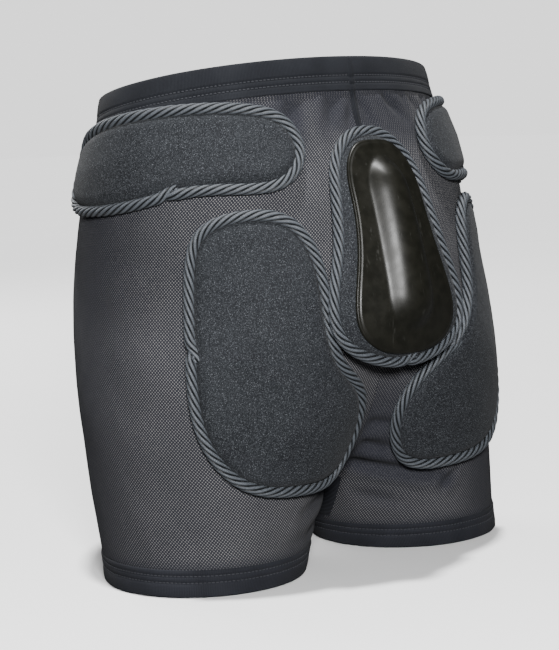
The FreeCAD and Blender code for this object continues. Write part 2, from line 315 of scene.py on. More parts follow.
def finish_piece(obj, material, nodes=(), thick=None):
    """Gives a piece its finish, the CAD nodes that it stands for, and the body that it rides on."""
    obj.data.materials.clear()
    obj.data.materials.append(material)
    if thick:
        rim = obj.modifiers.new("cloth thickness", "SOLIDIFY")
        rim.thickness = thick * MM
        rim.offset = -1
    if nodes:
        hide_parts(*nodes)
    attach(obj, "root")


# ---- materials


class Nodes:
    """Short calls for building a material's nodes."""

    def __init__(self, name):
        self.material = bpy.data.materials.new(name)
        self.material.use_nodes = True
        self.tree = self.material.node_tree
        self.shader = self.tree.nodes["Principled BSDF"]

    def add(self, kind, **settings):
        made = self.tree.nodes.new(kind)
        for key, value in settings.items():
            setattr(made, key, value)
        return made

    def put(self, socket, value):
        if isinstance(value, bpy.types.NodeSocket):
            self.tree.links.new(value, socket)
        elif isinstance(value, (tuple, list)) and len(value) == 3 and socket.type == "RGBA":
            socket.default_value = (*value, 1)
        else:
            socket.default_value = value

    def math(self, operation, *values):
        made = self.add("ShaderNodeMath", operation=operation)
        for socket, value in zip(made.inputs, values):
            self.put(socket, value)
        return made.outputs[0]

    def plus(self, first, second):
        return self.math("ADD", first, second)

    def times(self, first, second):
        return self.math("MULTIPLY", first, second)

    def mix(self, share, first, second):
        made = self.add("ShaderNodeMix", data_type="RGBA")
        self.put(made.inputs["Factor"], share)
        self.put(made.inputs[6], first)
        self.put(made.inputs[7], second)
        return made.outputs[2]

    def ramp(self, value, low, high, start=0.0, end=1.0):
        made = self.add("ShaderNodeMapRange", interpolation_type="SMOOTHSTEP")
        names = ("Value", "From Min", "From Max", "To Min", "To Max")
        for name, number in zip(names, (value, low, high, start, end)):
            self.put(made.inputs[name], number)
        return made.outputs[0]

    def noise(self, where, scale, detail=3.0, rough=0.5):
        made = self.add("ShaderNodeTexNoise")
        self.put(made.inputs["Vector"], where)
        made.inputs["Scale"].default_value = scale
        made.inputs["Detail"].default_value = detail
        made.inputs["Roughness"].default_value = rough
        return made.outputs["Fac"]

    def stretched(self, where, x, y, z):
        made = self.add("ShaderNodeVectorMath", operation="MULTIPLY")
        self.put(made.inputs[0], where)
        made.inputs[1].default_value = (x, y, z)
        return made.outputs[0]

    def place(self):
        return self.add("ShaderNodeTexCoord").outputs["Object"]

    def cut(self):
        return self.add("ShaderNodeUVMap", uv_map="cut").outputs[0]

    def parts(self, vector):
        made = self.add("ShaderNodeSeparateXYZ")
        self.put(made.inputs[0], vector)
        return made.outputs

    def bump(self, height, distance, strength=1.0, under=None):
        made = self.add("ShaderNodeBump")
        made.inputs["Strength"].default_value = strength
        made.inputs["Distance"].default_value = distance
        self.put(made.inputs["Height"], height)
        if under is not None:
            self.put(made.inputs["Normal"], under)
        return made.outputs[0]

    def set(self, **sockets):
        for name, value in sockets.items():
            self.put(self.shader.inputs[name.replace("_", " ")], value)
        return self.material


def mesh_knit():
    """Dark warp knit with staggered eyelets, where pale backing shows, dimmed by painted shade read from the
    mesh.
    """
    n = Nodes("perforated mesh knit")
    u, v, _ = n.parts(n.cut())
    pitch_u, pitch_v = 2.5, 2.6
    dots = None
    for shift in (0.0, 0.5):
        du = n.math("SUBTRACT", n.math("FRACT", n.plus(n.math("DIVIDE", u, pitch_u), shift)), 0.5)
        dv = n.math("SUBTRACT", n.math("FRACT", n.plus(n.math("DIVIDE", v, pitch_v), shift)), 0.5)
        across = n.times(du, du)
        upward = n.times(n.times(dv, dv), 0.8)
        far = n.math("SQRT", n.plus(across, upward))
        spot = n.ramp(far, 0.13, 0.25, 1.0, 0.0)
        dots = spot if dots is None else n.math("MAXIMUM", dots, spot)
    place = n.place()
    patchy = n.noise(place, 26, 2)
    fine = n.noise(place, 900, 2)
    # how much pale backing shows: the mesh's share, which holds painted shade in folds and on sides turned
    # from the light, varied a little at random
    share = n.add("ShaderNodeAttribute", attribute_name="eyelets_and_painted_shade").outputs["Fac"]
    backing_with_painted_shade = n.times(share, n.ramp(patchy, 0.3, 0.7, 0.8, 1.0))
    ground = n.mix(patchy, (0.011, 0.012, 0.017), (0.017, 0.018, 0.025))
    ground = n.mix(n.ramp(fine, 0.35, 0.75), ground, (0.028, 0.029, 0.036))
    pale = n.mix(fine, (0.130, 0.128, 0.127), (0.255, 0.247, 0.240))
    lit = n.times(dots, n.plus(0.10, n.times(backing_with_painted_shade, 0.82)))
    rib = n.math("SINE", n.times(u, 2 * math.pi / pitch_u * 2))
    height = n.plus(n.times(dots, -1.0), n.times(rib, 0.15))
    height = n.plus(height, n.times(fine, 0.35))
    return n.set(Base_Color=n.mix(lit, ground, pale), Roughness=n.ramp(fine, 0.2, 0.8, 0.72, 0.92),
                 Normal=n.bump(height, 0.0005, 0.7),
                 Sheen_Weight=0.03, Sheen_Roughness=0.5, Specular_IOR_Level=0.1)


def smooth_knit(name, low, high, ribs=1.1):
    """Fine plain knit with close upright ribs, for the waistband, hems, back seam and gusset."""
    n = Nodes(name)
    u, v, _ = n.parts(n.cut())
    place = n.place()
    patchy, fine = n.noise(place, 34, 3), n.noise(place, 1300, 2)
    wales = n.math("SINE", n.times(u, 2 * math.pi / ribs))
    courses = n.times(v, 2 * math.pi / (ribs * 0.8))
    rows = n.math("SINE", n.plus(courses, n.times(wales, 0.9)))
    knit = n.plus(n.times(wales, 0.5), n.times(rows, 0.3))
    color = n.mix(n.ramp(patchy, 0.3, 0.7), low, high)
    # painted highlight: the knit's raised ribs are painted lighter than the grooves between them
    color = n.mix(n.ramp(n.plus(knit, fine), 0.3, 1.4, 0.0, 0.55), color, tuple(2.0 * c for c in high))
    return n.set(Base_Color=color, Roughness=n.ramp(fine, 0.2, 0.8, 0.7, 0.9),
                 Normal=n.bump(n.plus(knit, n.times(fine, 0.8)), 0.00025, 0.6),
                 Sheen_Weight=0.03, Sheen_Roughness=0.5, Specular_IOR_Level=0.1)


def pad_knit():
    """Brushed knit bonded to foam: matt charcoal with pale flecks and a slight orange-peel surface."""
    n = Nodes("brushed pad knit")
    place = n.place()
    patchy = n.noise(place, 30, 3)
    grain, fleck = n.noise(place, 800, 3, 0.6), n.noise(place, 1450, 2, 0.6)
    base = n.mix(n.ramp(patchy, 0.25, 0.75), (0.0092, 0.0102, 0.0122), (0.0142, 0.0157, 0.0182))
    base = n.mix(n.ramp(grain, 0.42, 0.68), base, (0.030, 0.0327, 0.037))
    base = n.mix(n.ramp(fleck, 0.585, 0.69), base, (0.108, 0.116, 0.127))
    base = n.mix(n.ramp(fleck, 0.26, 0.40, 0.7, 0.0), base, (0.004, 0.0045, 0.006))
    height = n.plus(n.times(grain, 1.2), n.times(fleck, 0.7))
    soft = n.bump(n.noise(place, 70, 3), 0.0012, 0.35)
    return n.set(Base_Color=base, Roughness=n.ramp(grain, 0.3, 0.7, 0.72, 0.9),
                 Normal=n.bump(height, 0.0005, 0.6, soft),
                 Sheen_Weight=0.04, Sheen_Roughness=0.5, Specular_IOR_Level=0.1)


# of each strand in an edging cord
STRAND_RADIUS = 1.5


def cord_yarn():
    """Lustrous grey-blue yarn, with painted highlight along its raised fibres and painted shade between its
    strands. Along each strand u runs round it and v along it, in millimetres.
    """
    n = Nodes("twisted cord yarn")
    u, v, _ = n.parts(n.cut())
    place = n.place()
    fine, patchy = n.noise(place, 1500, 2), n.noise(place, 60, 2)
    slanting = n.plus(u, n.times(v, 0.55))
    fibres = n.math("SINE", n.times(slanting, 2 * math.pi / 0.75))
    mix = n.plus(n.times(fibres, 0.25), fine)
    # painted highlight and shade: the raised fibres are painted lighter and the grooves between them darker,
    # over the yarn's own grey-blue
    color = n.mix(n.ramp(mix, 0.15, 0.95), (0.032, 0.036, 0.042), (0.122, 0.135, 0.153))
    color = n.mix(n.ramp(patchy, 0.3, 0.75, 0.0, 0.35), color, (0.07, 0.078, 0.09))
    # painted shade: each strand is darkened where it turns down between its neighbours
    outward = n.math("COSINE", n.math("DIVIDE", u, STRAND_RADIUS))
    color = n.mix(n.ramp(outward, 0.3, 1.0), (0.004, 0.005, 0.006), color)
    return n.set(Base_Color=color, Roughness=0.5, Normal=n.bump(mix, 0.0002, 0.55),
                 Sheen_Weight=0.03, Sheen_Roughness=0.4, Specular_IOR_Level=0.3)


def sewing_thread(name, low, high):
    n = Nodes(name)
    place = n.place()
    fine = n.noise(place, 1800, 2)
    return n.set(Base_Color=n.mix(fine, low, high), Roughness=0.6, Normal=n.bump(fine, 0.0001, 0.5),
                 Sheen_Weight=0.03, Specular_IOR_Level=0.25)


def shell_plastic():
    """Black moulded plastic with an olive cast, polished, with faint moulding ripple and fine scuffs."""
    n = Nodes("glossy moulded shell")
    place = n.place()
    ripple, cloudy, speck = n.noise(place, 38, 3), n.noise(place, 110, 3), n.noise(place, 1400, 2)
    scuff = n.noise(n.stretched(place, 240, 240, 22), 1.0, 4, 0.65)
    scuff = n.ramp(scuff, 0.62, 0.72)
    color = n.mix(n.ramp(cloudy, 0.3, 0.7), (0.0050, 0.0050, 0.0034), (0.0080, 0.0078, 0.0054))
    color = n.mix(n.times(scuff, 0.25), color, (0.05, 0.05, 0.045))
    rough = n.plus(n.ramp(cloudy, 0.25, 0.75, 0.36, 0.44), n.times(scuff, 0.12))
    wavy = n.bump(ripple, 0.0009, 0.18)
    return n.set(Base_Color=color, Roughness=rough, Normal=n.bump(speck, 0.00006, 0.35, wavy),
                 Specular_IOR_Level=0.31)


MESH = mesh_knit()
BAND = smooth_knit("waistband knit", (0.0088, 0.0096, 0.0122), (0.0136, 0.0148, 0.0182))
HEM = smooth_knit("hem knit", (0.0098, 0.0105, 0.0135), (0.015, 0.016, 0.0203), 1.3)
SEAM = smooth_knit("seam knit", (0.007, 0.0077, 0.010), (0.011, 0.012, 0.015))
PAD = pad_knit()
CORD = cord_yarn()
THREAD = sewing_thread("black sewing thread", (0.020, 0.021, 0.026), (0.042, 0.044, 0.052))
SHELL = shell_plastic()

# ---- panels


def gathers(angle, z, where, side):
    """Small gathers where the stretched waistband draws the cloth in."""
    below = waist_top(where[:, 1]) - BAND_HEIGHT - z
    rng = np.random.default_rng(5 if side > 0 else 6)
    total = np.zeros_like(z)
    for pitch, strength in ((9.0, 0.55), (14.5, 0.5), (23.0, 0.45)):
        total += strength * np.sin(angle * GIRTH_RADIUS * 2 * math.pi / pitch + rng.uniform(0, 6))
    back = 0.45 + 0.55 * smooth(0.2, 1.4, angle)
    return 0.75 * total * back * np.exp(-np.maximum(below, 0) / 11.0)


def girth_uv(points, rows, columns):
    """Flat coordinates for a grid: along the girth from its middle column, and up, in millimetres."""
    grid = points.reshape(rows, columns, 3)
    steps = np.linalg.norm(np.diff(grid, axis=1), axis=2)
    along = np.concatenate([np.zeros((rows, 1)), np.cumsum(steps, axis=1)], axis=1)
    along -= along[:, columns // 2][:, None]
    return np.stack([along, grid[:, :, 2]], -1).reshape(-1, 2)


def half_end(z):
    """The girth angle at which the left half's ellipse meets the middle plane."""
    return np.arccos(np.clip(-SIDE(z) / WIDE(z), -1, 1))


def level_heights(share_round, below):
    """Heights of a line at a distance below the waist edge, from -1 at a half's front to 1 at its back."""
    start_height, rounds = 360.0, 8
    z = np.full(share_round.shape, start_height)
    for _ in range(rounds):
        y = BACK(z) + DEEP(z) * np.sin(share_round * half_end(z))
        z = waist_top(y) - below
    return z


def make_panel(name, side, node):
    """One wrap-round panel, from inside the hem to a little way up behind the slanting waistband."""
    rows, columns = 190, 321
    low, overlap, row_bias = 19.0, 3.0, 0.92
    # rows are levelled so that the last one follows the waistband, a little above its foot
    t = np.linspace(0, 1, rows)[:, None] ** row_bias
    share_round = np.linspace(-1, 1, columns)[None, :]
    top = level_heights(share_round, BAND_HEIGHT - overlap)
    z = low + (top - low) * t
    angle = share_round * half_end(z)
    place, out = half_point(angle, z)
    place = bridged(place, z, body_reach(z, angle > 0))
    out = sideways_eased(out, place[..., 0], smooth(60, 90, z))
    points, ways = place.reshape(-1, 3), out.reshape(-1, 3)
    angle, z = angle.reshape(-1), z.reshape(-1)
    fold, closed = fold_effect(side, angle, z)
    sink = fold - 0.7 * wave_noise(11 if side > 0 else 12, points, 95)
    # the share of pale backing shown, dimmed by painted shade, is stored on the mesh for its material
    share = eyelets_and_painted_shade(side, angle, points, closed)
    sink += gathers(angle, z, points, side)
    # behind the band the cloth lies flat, half a millimetre in
    below_band = smooth(-1.0, 5.0, waist_top(points[:, 1]) - BAND_HEIGHT - z)
    sink = 0.5 + (sink - 0.5) * below_band
    # both sides agree exactly where they are sewn together in the middle
    sewn = np.exp(-((points[:, 0] / 5.0) ** 2)) * smooth(54, 60, z)
    points = points - ways * (sink * smooth(20, 34, z) * (1 - sewn))[:, None]
    points[:, 0] = np.maximum(points[:, 0], -0.4)
    uv = girth_uv(points, rows, columns)
    faces = grid_faces(rows, columns)
    if side < 0:
        points, faces = mirrored(points), faces[:, ::-1]
    made = new_mesh(name, points, faces, corner_uv(faces, uv))
    made.data.attributes.new("eyelets_and_painted_shade", "FLOAT", "POINT").data.foreach_set("value", share)
    finish_piece(made, MESH, [node], thick=1.3)


make_panel("left_mesh_panel", 1, "left_panel")
make_panel("right_mesh_panel", -1, "right_panel")

# ---- waistband

# how far below the waist edge the two rows of stitches run
BAND_STITCHES = (15.0, 20.5)


def band_line(below, growth, columns):
    """Places round the waist at a distance below its edge, slightly uneven, with the outward way at each."""
    along = np.linspace(0, 2 * math.pi, columns, endpoint=False)
    left = np.cos(along) >= 0
    fold = np.where(left, along, math.pi - along)
    fold = (fold + math.pi) % (2 * math.pi) - math.pi
    share_round = np.clip(fold / (math.pi / 2), -1, 1)
    z = level_heights(share_round, below)
    angle = share_round * half_end(z)
    place, out = half_point(angle, z)
    place = bridged(place, z, body_reach(z, angle > 0))
    out = sideways_eased(out, place[:, 0])
    extra = growth + 0.35 * wave_noise(21, place * np.array([1, 1, 0.2]), 60)
    place = place + out * np.array([1, 1, 0.35]) * extra[:, None]
    place[:, 0] = np.maximum(place[:, 0], 0) * np.where(left, 1, -1)
    out[:, 0] *= np.where(left, 1, -1)
    return place, out


def band_profile():
    """(distance below the edge, growth) pairs: up the furrowed outer face, over the fold and back down."""
    height = BAND_HEIGHT
    foot_part, stitched_part = np.linspace(height - 0.4, 24.2, 4), np.linspace(23.6, 9.6, 22)
    outer = []
    for below in np.concatenate([foot_part, stitched_part, np.linspace(9, 2.2, 6)]):
        furrow = sum(0.9 * math.exp(-(((below - row) / 1.0) ** 2)) for row in BAND_STITCHES)
        swell = 0.5 * math.sin(math.pi * np.clip(below / BAND_STITCHES[0], 0, 1))
        outer.append((below, 1.35 + swell - furrow))
    top = [(1.0, 1.4), (0.25, 0.9), (0.0, 0.0), (0.0, -2.2), (0.35, -3.1), (1.2, -3.6)]
    inner = [(below, -3.7) for below in (6, 13, 20)]
    foot = [(height - 0.6, -3.5), (height - 0.1, -2.9), (height, -0.6), (height - 0.05, 0.9)]
    return outer + top + inner + foot


def make_band():
    """The folded casing, all round the waist. It hides the elastic."""
    grid = np.array([band_line(below, growth, 360)[0] for below, growth in band_profile()])
    band = new_mesh("waistband_cover", grid.reshape(-1, 3), *closed_strip(grid))
    finish_piece(band, BAND, ["waistband_casing", "waistband_elastic"])


make_band()

# ---- stitches

# along a stitch: a share of its length, then its thickness and lift as shares of the thread's radius
STITCH_SHAPE = [(0.0, 0.25, -0.5), (0.15, 0.9, 0.0), (0.5, 1.0, 0.25), (0.85, 0.9, 0.0), (1.0, 0.25, -0.5)]


def stitch_row(places, ways, name, nodes=(), length=2.3, pitch=3.1, radius=0.42, sides=6):
    """A row of small raised stitches along a closed line of places, with the outward way at each."""
    line, outs = np.vstack([places, places[:1]]), np.vstack([ways, ways[:1]])
    along = running(np.linalg.norm(np.diff(line, axis=0), axis=1))
    count = int(along[-1] / pitch)
    pitch = along[-1] / count
    points, faces = [], []

    def at(where, what):
        return np.array([np.interp(where, along, what[:, k]) for k in range(3)])

    for i in range(count):
        start = i * pitch
        middle = unit(at(start + length / 2, outs))
        run = unit(at(start + length, line) - at(start, line))
        across = np.cross(run, middle)
        base = len(points)
        for share, size, lift in STITCH_SHAPE:
            centre = at(start + share * length, line) + middle * lift * radius
            for k in range(sides):
                turn = 2 * math.pi * k / sides
                spoke = across * math.cos(turn) + middle * math.sin(turn) * 0.8
                points.append(centre + radius * size * spoke)
        last = base + (len(STITCH_SHAPE) - 1) * sides
        for ring in range(base, last, sides):
            faces += ring_joint(sides, ring, ring + sides)
        faces.append(tuple(range(base, base + sides))[::-1])
        faces.append(tuple(range(last, last + sides)))
    finish_piece(new_mesh(name, points, faces), THREAD, nodes)


stitch_row(*band_line(BAND_STITCHES[0], 0.95, 720), "waistband_upper_stitches", ["waistband_stitching"])
stitch_row(*band_line(BAND_STITCHES[1], 0.95, 720), "waistband_lower_stitches")

# ---- hems

# the heights of the lower and upper rows of stitches, and of the hem
HEM_STITCHES = (10.8, 15.8)
HEM_HEIGHT = 20.4


def hem_ring(side, z, growth, columns):
    """Places round a leg at a height, slightly uneven, with the outward way at each."""
    angle = np.linspace(0, 2 * math.pi, columns, endpoint=False)
    place, out = half_point(angle, np.full(columns, float(z)), growth)
    if side < 0:
        place, out = mirrored(place)[::-1], mirrored(out)[::-1]
    uneven = 0.4 * wave_noise(31 + side, place * np.array([1, 1, 0.3]), 46)
    return place + out * uneven[:, None] * np.array([1, 1, 0]), out


def hem_profile():
    """(height, growth) pairs: down the furrowed outer face, round the fold and up the inner face."""
    foot_part, stitched_part = np.linspace(0.9, 9.4, 8), np.linspace(9.8, 17.0, 14)
    outer = []
    for z in np.concatenate([foot_part, stitched_part, np.linspace(17.8, HEM_HEIGHT, 4)]):
        furrow = sum(0.75 * math.exp(-(((z - row) / 0.9) ** 2)) for row in HEM_STITCHES)
        swell = 0.35 * math.sin(math.pi * min(z / 10.5, 1))
        outer.append((z, 1.0 + swell - furrow - 0.4 * smooth(18.6, HEM_HEIGHT, z)))
    fold = [(0.25, 0.7), (0.0, 0.1), (0.0, -1.7), (0.3, -2.2)]
    inner = [(4.0, -2.3), (12.0, -2.3), (18.5, -2.2), (19.6, -1.4), (20.2, -0.4)]
    return outer[::-1] + fold + inner


def make_hem(side, name, node):
    """A leg's folded hem and its two rows of stitches."""
    grid = np.array([hem_ring(side, z, growth, 240)[0] for z, growth in hem_profile()])
    made = new_mesh(name, grid.reshape(-1, 3), *closed_strip(grid, first=1))
    finish_piece(made, HEM, [node])
    lower, upper = (hem_ring(side, z, 0.55, 480) for z in HEM_STITCHES)
    stitch_row(*lower, name + "_lower_stitches", [node + "_stitching"])
    stitch_row(*upper, name + "_upper_stitches")


make_hem(1, "left_leg_hem", "left_hem")
make_hem(-1, "right_leg_hem", "right_hem")

# ---- pads, in flat pattern millimetres

# each drum that a pad's flat pattern is wrapped round: axis x and y, facing in degrees, radius. A pattern's
# first number runs along the girth and its second is a height.
DRUMS = {"hip": (17, -13, 15, 135), "seat": (40, -12, 45, 130), "tail": (0, -34, 90, 165)}
# how much higher the patterns sit on the body than they are drawn
PAD_RAISE = 3.0
# places round the edge of each pad and of the shell
PAD_COLUMNS = 300

HIP = [(-93, 305), (-82, 286), (-50, 280), (-5, 285), (40, 294), (80, 294), (108, 300), (121, 319),
       (112, 339), (80, 351), (30, 353), (-25, 347), (-65, 337), (-88, 324)]
LEFT_SEAT = [(-22, 225), (-14, 262), (22, 275), (58, 267), (74, 242), (80, 195), (92, 162), (114, 142),
             (123, 108), (104, 77), (58, 70), (12, 80), (-13, 115), (-20, 165)]
RIGHT_SEAT = [(-22, 225), (-12, 263), (15, 276), (38, 266), (47, 242), (51, 208), (65, 178), (90, 158),
              (113, 138), (122, 108), (104, 77), (58, 70), (12, 80), (-13, 115), (-20, 165)]


def both_halves(half):
    """An outline from its left half, whose ends are on the middle line."""
    return half + [(-x, z) for x, z in half[-2:0:-1]]


TAIL_PAD = both_halves(
    [(0, 160), (36, 167), (58, 185), (61, 210), (53, 248), (48, 290), (42, 314), (25, 330), (0, 335)])
SHELL_RIM = both_halves(
    [(0, 167), (28, 172), (44, 188), (46, 208), (41, 236), (37, 280), (34, 310), (21, 324), (0, 327)])


def closed_curve(points, count):
    """An even run of places along the smooth closed curve through the points."""
    points = np.asarray(points, float)
    n = len(points)
    chords = np.linalg.norm(np.roll(points, -1, 0) - points, axis=1)
    system, right = np.zeros((n, n)), np.zeros((n, 2))
    for i in range(n):
        before, after = chords[i - 1], chords[i]
        system[i, i - 1] += before
        system[i, i] += 2 * (before + after)
        system[i, (i + 1) % n] += after
        right[i] = 6 * ((points[(i + 1) % n] - points[i]) / after - (points[i] - points[i - 1]) / before)
    bend = np.linalg.solve(system, right)
    fine = []
    for i in range(n):
        j, h = (i + 1) % n, chords[i]
        left = np.linspace(0, h, 60, endpoint=False)[:, None]
        fine.append(cubic(left, h, (points[i], points[j]), (bend[i], bend[j])))
    fine = np.concatenate(fine)
    loop = np.vstack([fine, fine[:1]])
    along = running(np.linalg.norm(np.diff(loop, axis=0), axis=1))
    at = np.linspace(0, along[-1], count, endpoint=False)
    even = np.stack([np.interp(at, along, loop[:, k]) for k in range(2)], 1)
    turned = np.sum(even[:, 0] * np.roll(even[:, 1], -1) - even[:, 1] * np.roll(even[:, 0], -1))
    return even if turned > 0 else even[::-1]


def inset(curve, amount):
    """The closed curve moved inwards, evenly."""
    slope = unit(np.roll(curve, -1, 0) - np.roll(curve, 1, 0))
    return curve + np.stack([-slope[:, 1], slope[:, 0]], 1) * amount


def edge_distance(points, curve):
    """The distance from each flat place to a closed curve, worked out in blocks to save memory."""
    block = 4000
    a, b = curve, np.roll(curve, -1, 0)
    run = b - a
    length = (run**2).sum(1)
    best = np.full(len(points), np.inf)
    for start in range(0, len(points), block):
        p = points[start : start + block, None]
        t = np.clip(((p - a) * run).sum(2) / length, 0, 1)
        best[start : start + block] = np.linalg.norm(p - a - t[..., None] * run, axis=2).min(1)
    return best


def on_drum(flat, drum, height, tail=0.0):
    """Flat places wrapped on the body and lifted. tail is 0 on the cloth and 1 on the tailbone pad's face."""
    x0, y0, facing, radius = DRUMS[drum]
    turn = math.radians(facing) + flat[:, 0] / radius
    z = flat[:, 1] + PAD_RAISE
    way = np.stack([np.cos(turn), np.sin(turn)], 1)

    def hit(cx, cy, a, b):
        """How far from the drum's axis its spokes meet an ellipse."""
        ox, oy = (x0 - cx) / a, (y0 - cy) / b
        dx, dy = way[:, 0] / a, way[:, 1] / b
        squared, linear, fixed = dx**2 + dy**2, 2 * (ox * dx + oy * dy), ox**2 + oy**2 - 1
        return (-linear + np.sqrt(np.maximum(linear**2 - 4 * squared * fixed, 0))) / (2 * squared)

    cx, cy, a, b = SIDE(z), BACK(z), WIDE(z), DEEP(z)
    if drum == "tail":
        # the pad covers both sides, so the body under it is mirrored
        sign = np.where(way[:, 0] < 0, -1.0, 1.0)
        far = hit(cx * sign, cy, a, b)
        cloth = np.stack([np.abs(x0 + way[:, 0] * far), y0 + way[:, 1] * far, z], 1)
        cloth = bridged(cloth, z, body_reach(z, z > 0)) * np.stack([sign, 1 + 0 * z, 1 + 0 * z], 1)
        face = hit(0 * cx, cy, cx + a + TAIL_OFF(z), b + TAIL_OFF(z))
        face = np.stack([x0 + way[:, 0] * face, y0 + way[:, 1] * face, z], 1)
        out = np.stack([way[:, 0], way[:, 1], 0 * z], 1)
        rise = TAIL_OFF(z + 2) + DEEP(z + 2) + BACK(z + 2) - TAIL_OFF(z - 2) - DEEP(z - 2) - BACK(z - 2)
        out[:, 2] = -rise / 4
        out = unit(out)
        return cloth + (face - cloth) * tail + out * np.reshape(height, (-1, 1)), out
    far = hit(cx, cy, a, b)
    place = np.stack([x0 + way[:, 0] * far, y0 + way[:, 1] * far, z], 1)
    angle = np.arctan2((place[:, 1] - cy) / b, (place[:, 0] - cx) / a)
    out = half_point(angle, z)[1]
    return bridged(place, z, body_reach(z, z > 0)) + out * np.reshape(height, (-1, 1)), out


def polar(curve, centre, shares):
    """Flat places on rings between a closed curve (share 1) and a centre (share 0, one place)."""
    rings = [centre + (curve - centre) * s for s in shares]
    return np.concatenate(rings + [np.array([centre])])


def polar_faces(count, rings, start=0, flip=False):
    """Quads between the rings of a polar() grid, and triangles to its centre."""
    faces = [tuple(f) for f in grid_faces(rings, count, wrap=True, flip=not flip) + start]
    last, middle = start + (rings - 1) * count, start + rings * count
    for k in range(count):
        tri = (last + k, last + (k + 1) % count, middle)
        faces.append(tri if flip else tri[::-1])
    return faces


def ring_shares(edge, edge_rings, inner_rings):
    """Shares from 1 down to the centre, with the rings closer together in the edge's part of the way in."""
    outer = 1 - np.linspace(0, edge, edge_rings, endpoint=False)
    return np.concatenate([outer, (1 - edge) * (1 - np.linspace(0, 1, inner_rings, endpoint=False))])


def capped_faces(rings, under_rings):
    """Faces of a closed body: a polar() face, then a polar() underside, and the join between their edges."""
    start = rings * PAD_COLUMNS + 1
    faces = polar_faces(PAD_COLUMNS, rings) + polar_faces(PAD_COLUMNS, under_rings, start, flip=True)
    return faces + ring_joint(PAD_COLUMNS, 0, start)


PAD_RINGS = ring_shares(0.22, 16, 20)
SHELL_RINGS = ring_shares(0.3, 26, 30)
UNDER_RINGS = [1.0, 0.6, 0.3]
# how far inside its cord's line a pad's edge is
PAD_INSET = 2.6


def cap_height(depth, tall, shoulder, crown, reach):
    """A height at a depth inside an edge: a round shoulder, then a slight crown."""
    rounding = np.sqrt(np.clip(1 - (1 - np.clip(depth / shoulder, 0, 1)) ** 2, 0, 1))
    return tall * rounding + crown * smooth(0, reach, depth)


def flat_grid(curve, centre, shares):
    """A polar() grid with the distance of each place from the curve."""
    flat = polar(curve, centre, shares)
    depth = edge_distance(flat, curve)
    depth[:len(curve)] = 0
    return flat, depth


def make_pad(name, outline, drum, centre, side, nodes, seed):
    """A foam pad under brushed knit, closed, from its underside on the body to its crowned face."""
    curve = inset(closed_curve(outline, PAD_COLUMNS), PAD_INSET)
    centre = np.array(centre, float)
    flat, depth = flat_grid(curve, centre, PAD_RINGS)
    height = 1.2 + cap_height(depth, 7.6, 9.0, 1.5, 42)
    height += 0.32 * wave_noise(seed, np.c_[flat, 0 * depth], 46) * smooth(3, 16, depth)
    top, _ = on_drum(flat, drum, height)
    under_rings = [1.0, 0.9, 0.6, 0.3]
    under, _ = on_drum(polar(curve, centre, under_rings), drum, 0.35)
    points, faces = np.vstack([top, under]), capped_faces(len(PAD_RINGS), len(under_rings))
    if side < 0:
        points, faces = mirrored(points), [f[::-1] for f in faces]
    made = new_mesh(name, points, faces)
    finish_piece(made, PAD, nodes)


def make_cord(name, path, out, nodes, strands=6, radius=4.35, lay=50.0, sides=8):
    """A left-hand laid cord along an open run of places: a tube for each strand, round a heart."""
    slope = unit(np.gradient(path, axis=0))
    up = unit(out - (out * slope).sum(1, keepdims=True) * slope)
    right = np.cross(slope, up)
    along = running(np.linalg.norm(np.diff(path, axis=0), axis=1))
    orbit = radius - STRAND_RADIUS
    heart = orbit - 0.55
    points, faces, uv = [], [], []
    count = len(path)
    for k, away, size in [(k, orbit, STRAND_RADIUS) for k in range(strands)] + [(0, 0.0, heart)]:
        turn = -2 * math.pi * along / lay + 2 * math.pi * k / strands
        wobble = 1 + 0.03 * np.sin(along / 5.3 + 2.1 * k)
        outward = np.cos(turn)[:, None] * up + np.sin(turn)[:, None] * right
        centre = path + away * outward
        run = unit(np.gradient(centre, axis=0))
        outward = unit(outward - (outward * run).sum(1, keepdims=True) * run)
        across = np.cross(run, outward)
        base = len(points)
        for j in range(sides):
            roll = 2 * math.pi * j / sides
            spoke = np.cos(roll) * outward + np.sin(roll) * across
            points.extend(centre + (size * wobble)[:, None] * spoke)
        for j in range(sides):
            near, far = base + j * count, base + (j + 1) % sides * count
            u0, u1 = 2 * math.pi * size * j / sides, 2 * math.pi * size * (j + 1) / sides
            for i in range(count - 1):
                faces.append((near + i, far + i, far + i + 1, near + i + 1))
                uv += [(u0, along[i]), (u1, along[i]), (u1, along[i + 1]), (u0, along[i + 1])]
        for i in (0, count - 1):
            cap = tuple(base + j * count + i for j in range(sides))
            faces.append(cap if i else cap[::-1])
            uv += [(0.0, 0.0)] * sides
    finish_piece(new_mesh(name, points, faces, uv), CORD, nodes)


# places that a cord's line is first worked out at
CORD_PLACES = 720


def cord_path(outline, drum, side, start, height=4.7, tail=0.0):
    """The cord's run round a pad and past its join, which is at the share start of the way round."""
    overlap, spacing, tuck_length = 9.0, 1.5, 17
    fine = closed_curve(outline, CORD_PLACES)
    total = np.linalg.norm(np.roll(fine, -1, 0) - fine, axis=1).sum()
    over = overlap / total
    shares = np.arange(start - over, start + 1 + over, spacing / total)
    at = (shares % 1.0) * len(fine)
    low = np.floor(at).astype(int) % len(fine)
    part = (at - np.floor(at))[:, None]
    flat = fine[low] * (1 - part) + fine[(low + 1) % len(fine)] * part
    inward = inset(fine, 1.0)[low] - fine[low]
    # both ends turn in under the pad, the first one lower, so that they cross where they meet
    gone = (shares - shares[0]) * total
    left = (shares[-1] - shares) * total
    tuck_first, tuck_last = 1 - smooth(0, tuck_length, gone), 1 - smooth(0, tuck_length, left)
    flat = flat + inward * (4.5 * (tuck_first + tuck_last))[:, None]
    lift = height - 3.2 * tuck_first - 0.8 * tuck_last
    place, out = on_drum(flat, drum, lift, tail)
    if side < 0:
        place, out = mirrored(place), mirrored(out)
    return place, out


